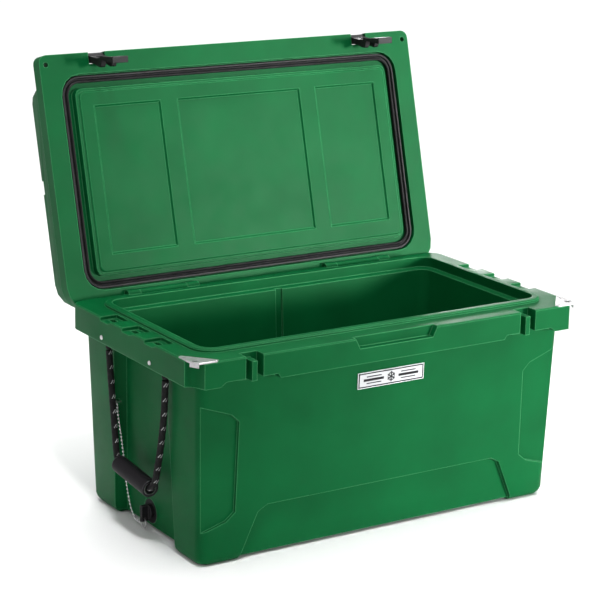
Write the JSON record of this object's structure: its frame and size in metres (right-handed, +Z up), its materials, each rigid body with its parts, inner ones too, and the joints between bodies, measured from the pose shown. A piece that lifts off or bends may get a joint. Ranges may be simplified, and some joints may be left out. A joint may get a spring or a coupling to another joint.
{
  "type": "cooler chest",
  "caption": "Insulated cooler chest with a hinged lid held open, rubber latches, rope handles with tube grips, steel padlock corner plates and a screw-in drain plug on a ball chain.",
  "frame": {"origin": "on the floor, at the centre of the box round the chest with its lid open", "axes": "+X along the chest's length towards the end without the drain, -Y out of its front, +Z up"},
  "size_m": [0.7834, 0.5932, 0.7789],
  "materials": {
    "green_plastic": "satin",
    "black_nylon": "satin",
    "black_rubber": "satin",
    "black_rope": "matte",
    "foam": "matte",
    "steel": "satin",
    "white_plastic": "satin"
  },
  "bodies": {
    "chest": {"body_shell": "green_plastic", "body_foam_core": "foam", "body_fill_plug": "black_nylon", "hinge_pin_left": "steel", "hinge_pin_right": "steel", "corner_plate_left": "steel", "corner_plate_right": "steel", "corner_plate_left_screw_1": "steel", "corner_plate_left_screw_2": "steel", "corner_plate_right_screw_1": "steel", "corner_plate_right_screw_2": "steel", "badge_plate": "white_plastic", "drain_bushing": "black_nylon", "drain_chain": "steel", "chain_screw": "steel", "handle_pin_front_left": "steel", "handle_rope_end_front_left": "black_rope", "handle_pin_rear_left": "steel", "handle_rope_end_rear_left": "black_rope", "handle_pin_front_right": "steel", "handle_rope_end_front_right": "black_rope", "handle_pin_rear_right": "steel", "handle_rope_end_rear_right": "black_rope"},
    "lid": {"lid_shell": "green_plastic", "lid_foam_core": "foam", "lid_fill_plug": "black_nylon", "lid_gasket": "black_rubber"},
    "left_latch_rod": {"latch_pin_left": "steel"},
    "left_latch": {"latch_left": "black_rubber"},
    "right_latch_rod": {"latch_pin_right": "steel"},
    "right_latch": {"latch_right": "black_rubber"},
    "left_handle": {"handle_rope_left": "black_rope", "handle_grip_left": "black_nylon", "handle_sleeve_left": "steel"},
    "right_handle": {"handle_rope_right": "black_rope", "handle_grip_right": "black_nylon", "handle_sleeve_right": "steel"},
    "drain_washer": {"drain_plug_gasket": "black_rubber"},
    "drain_screw": {"drain_plug": "black_nylon", "drain_ring": "steel"}
  },
  "joints": [
    {"name": "lid_hinge", "type": "hinge", "parent": "chest", "child": "lid", "pos_m": [0, 0.13616, 0.358], "axis": [1, 0, 0], "range_deg": [0, 105]},
    {"name": "left_latch_push", "type": "hinge", "parent": "lid", "child": "left_latch_rod", "pos_m": [-0.2775, 0.2616, 0.76241], "axis": [1, 0, 0], "range_deg": [-35, 0]},
    {"name": "left_latch_swing", "type": "hinge", "parent": "left_latch_rod", "child": "left_latch", "pos_m": [-0.2775, 0.2616, 0.76241], "axis": [1, 0, 0], "range_deg": [-100, 5]},
    {"name": "right_latch_push", "type": "hinge", "parent": "lid", "child": "right_latch_rod", "pos_m": [0.2775, 0.2616, 0.76241], "axis": [1, 0, 0], "range_deg": [-35, 0]},
    {"name": "right_latch_swing", "type": "hinge", "parent": "right_latch_rod", "child": "right_latch", "pos_m": [0.2775, 0.2616, 0.76241], "axis": [1, 0, 0], "range_deg": [-100, 5]},
    {"name": "left_handle_swing", "type": "hinge", "parent": "chest", "child": "left_handle", "pos_m": [-0.376, 0, 0.3085], "axis": [0, 1, 0], "range_deg": [-1.5, 85]},
    {"name": "right_handle_swing", "type": "hinge", "parent": "chest", "child": "right_handle", "pos_m": [0.376, 0, 0.3085], "axis": [0, -1, 0], "range_deg": [-3, 85]},
    {"name": "drain_slide", "type": "slide", "parent": "chest", "child": "drain_washer", "axis": [-1, 0, 0], "range_m": [0, 0.009], "deforming": ["drain_chain"]},
    {"name": "drain_turn", "type": "hinge", "parent": "drain_washer", "child": "drain_screw", "pos_m": [-0.3416, -0.06264, 0.031], "axis": [-1, 0, 0], "range_deg": [0, 1080]}
  ],
  "couplings": [
    {"joint": "left_latch_push", "follows": "lid_hinge", "ratio": -0.33333},
    {"joint": "right_latch_push", "follows": "lid_hinge", "ratio": -0.33333},
    {"joint": "drain_slide", "follows": "drain_turn", "m_per_rad": 0.00047746}
  ]
}
